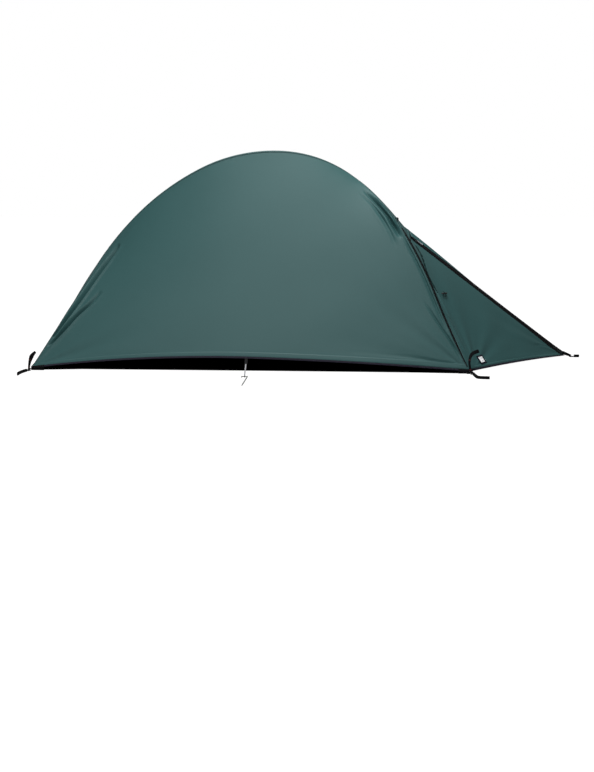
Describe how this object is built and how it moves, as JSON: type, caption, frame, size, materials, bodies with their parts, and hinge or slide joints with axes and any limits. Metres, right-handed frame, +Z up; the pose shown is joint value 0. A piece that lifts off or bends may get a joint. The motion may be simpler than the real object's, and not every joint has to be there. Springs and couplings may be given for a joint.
{
  "type": "tarp shelter",
  "caption": "Low ridged trekking fly on a Y-shaped hub pole set, with raised side hems, a dark groundsheet and a pointed vestibule closed by a slanted zip.",
  "frame": {"origin": "middle of the outline on the ground", "axes": "+X along the shelter from the foot to the pointed vestibule, -Y the side with the door, +Z up"},
  "size_m": [2.9144, 2.0524, 1.1064],
  "materials": {
    "fly_cloth": "coated ripstop, satin",
    "footprint_cloth": "coated plain weave, dull",
    "hem_tape": "woven binding tape",
    "zip_coil": "woven tape with moulded coil",
    "zip_metal": "black lacquer",
    "pole_alloy": "anodised satin",
    "bare_alloy": "turned",
    "hub_plastic": "moulded",
    "cord_elastic": "braided",
    "webbing": "woven webbing",
    "buckle_plastic": "moulded",
    "label_cloth": "woven label",
    "toggle_plastic": "moulded",
    "peg_alloy": "bright drawn"
  },
  "bodies": {
    "shelter": {"fly_side_near": "fly_cloth", "fly_side_far": "fly_cloth", "fly_foot_panel": "fly_cloth", "fly_hood_near": "fly_cloth", "fly_hood_far": "fly_cloth", "hub_patch": "fly_cloth", "leg_strip_near": "fly_cloth", "zip_strip": "fly_cloth", "vestibule_panel_far": "fly_cloth", "hem_binding_near": "hem_tape", "hem_binding_far": "hem_tape", "hem_binding_foot": "hem_tape", "hem_binding_vestibule": "hem_tape", "footprint": "footprint_cloth", "zipper_tape_fixed": "zip_coil", "spine_section_1": "pole_alloy", "spine_section_2": "pole_alloy", "spine_section_3": "pole_alloy", "spine_section_4": "pole_alloy", "spine_section_5": "pole_alloy", "leg_near_section_1": "pole_alloy", "leg_near_section_2": "pole_alloy", "leg_near_section_3": "pole_alloy", "leg_far_section_1": "pole_alloy", "leg_far_section_2": "pole_alloy", "leg_far_section_3": "pole_alloy", "pole_inserts": "bare_alloy", "spine_tip": "bare_alloy", "leg_tip_near": "bare_alloy", "leg_tip_far": "bare_alloy", "pole_grommets": "bare_alloy", "shock_cords": "cord_elastic", "pole_hub": "hub_plastic", "pole_wraps": "webbing", "corner_tabs": "webbing", "pole_seats": "webbing", "strap_tail_front_near": "webbing", "strap_tail_front_far": "webbing", "strap_tail_foot_near": "webbing", "strap_tail_foot_far": "webbing", "side_loop_near": "webbing", "side_loop_far": "webbing", "tieback_loop": "webbing", "ladder_locks": "buckle_plastic"},
    "door": {"door_panel": "fly_cloth", "hem_binding_door": "hem_tape", "zipper_tape_door": "zip_coil", "label_patch": "label_cloth"},
    "toggle": {"door_toggle": "toggle_plastic"},
    "slider_lower": {"zipper_slider_lower": "zip_metal"},
    "slider_upper": {"zipper_slider_upper": "zip_metal"},
    "pull_lower": {"zipper_pull_lower": "zip_metal"},
    "pull_upper": {"zipper_pull_upper": "zip_metal"},
    "loop_front_near": {"stake_loop_front_near": "webbing"},
    "loop_front_far": {"stake_loop_front_far": "webbing"},
    "loop_foot_near": {"stake_loop_foot_near": "webbing"},
    "loop_foot_far": {"stake_loop_foot_far": "webbing"},
    "loop_tip": {"stake_loop_tip": "webbing"},
    "peg_near": {"peg_near": "peg_alloy"},
    "peg_far": {"peg_far": "peg_alloy"}
  },
  "joints": [
    {"name": "door_swing", "type": "hinge", "parent": "shelter", "child": "door", "pos_m": [0.82148, -0.58125, 0.01408], "axis": [0.4021, -0.4567, -0.7935], "range_deg": [0, 95]},
    {"name": "toggle_turn", "type": "hinge", "parent": "door", "child": "toggle", "pos_m": [0.6736, -0.33262, 0.37048], "axis": [0.6286, -0.467, 0.6219], "range_deg": [-90, 90]},
    {"name": "zip_lower_slide", "type": "slide", "parent": "shelter", "child": "slider_lower", "axis": [-0.7993, -0.0254, 0.6004], "range_m": [0, 0.44]},
    {"name": "zip_upper_slide", "type": "slide", "parent": "shelter", "child": "slider_upper", "axis": [0.7993, 0.0254, -0.6004], "range_m": [0, 0.44]},
    {"name": "pull_lower_flip", "type": "hinge", "parent": "slider_lower", "child": "pull_lower", "pos_m": [1.32966, -0.02269, 0.05628], "axis": [-0.2944, -0.8544, -0.4282], "range_deg": [0, 150]},
    {"name": "pull_upper_flip", "type": "hinge", "parent": "slider_upper", "child": "pull_upper", "pos_m": [0.56479, -0.04705, 0.63084], "axis": [-0.2944, -0.8544, -0.4282], "range_deg": [0, 150]},
    {"name": "loop_front_near_lift", "type": "hinge", "parent": "shelter", "child": "loop_front_near", "pos_m": [0.79048, -0.66699, 0.004], "axis": [-0.9992, -0.04, 0], "range_deg": [0, 80]},
    {"name": "loop_front_far_lift", "type": "hinge", "parent": "shelter", "child": "loop_front_far", "pos_m": [0.79048, 0.66699, 0.004], "axis": [0.9992, -0.04, 0], "range_deg": [0, 80]},
    {"name": "loop_foot_near_lift", "type": "hinge", "parent": "shelter", "child": "loop_foot_near", "pos_m": [-1.43426, -0.54172, 0.004], "axis": [-0.9724, 0.2334, 0], "range_deg": [0, 80]},
    {"name": "loop_foot_far_lift", "type": "hinge", "parent": "shelter", "child": "loop_foot_far", "pos_m": [-1.43426, 0.54172, 0.004], "axis": [0.9724, 0.2334, 0], "range_deg": [0, 80]},
    {"name": "loop_tip_lift", "type": "hinge", "parent": "shelter", "child": "loop_tip", "pos_m": [1.42508, 0, 0.004], "axis": [0, -1, 0], "range_deg": [0, 80]},
    {"name": "peg_near_lift", "type": "hinge", "parent": "shelter", "child": "peg_near", "pos_m": [-0.33092, -0.79, 0.013], "axis": [-1, 0, 0], "range_deg": [0, 50]},
    {"name": "peg_far_lift", "type": "hinge", "parent": "shelter", "child": "peg_far", "pos_m": [-0.33092, 0.79, 0.013], "axis": [1, 0, 0], "range_deg": [0, 50]}
  ]
}
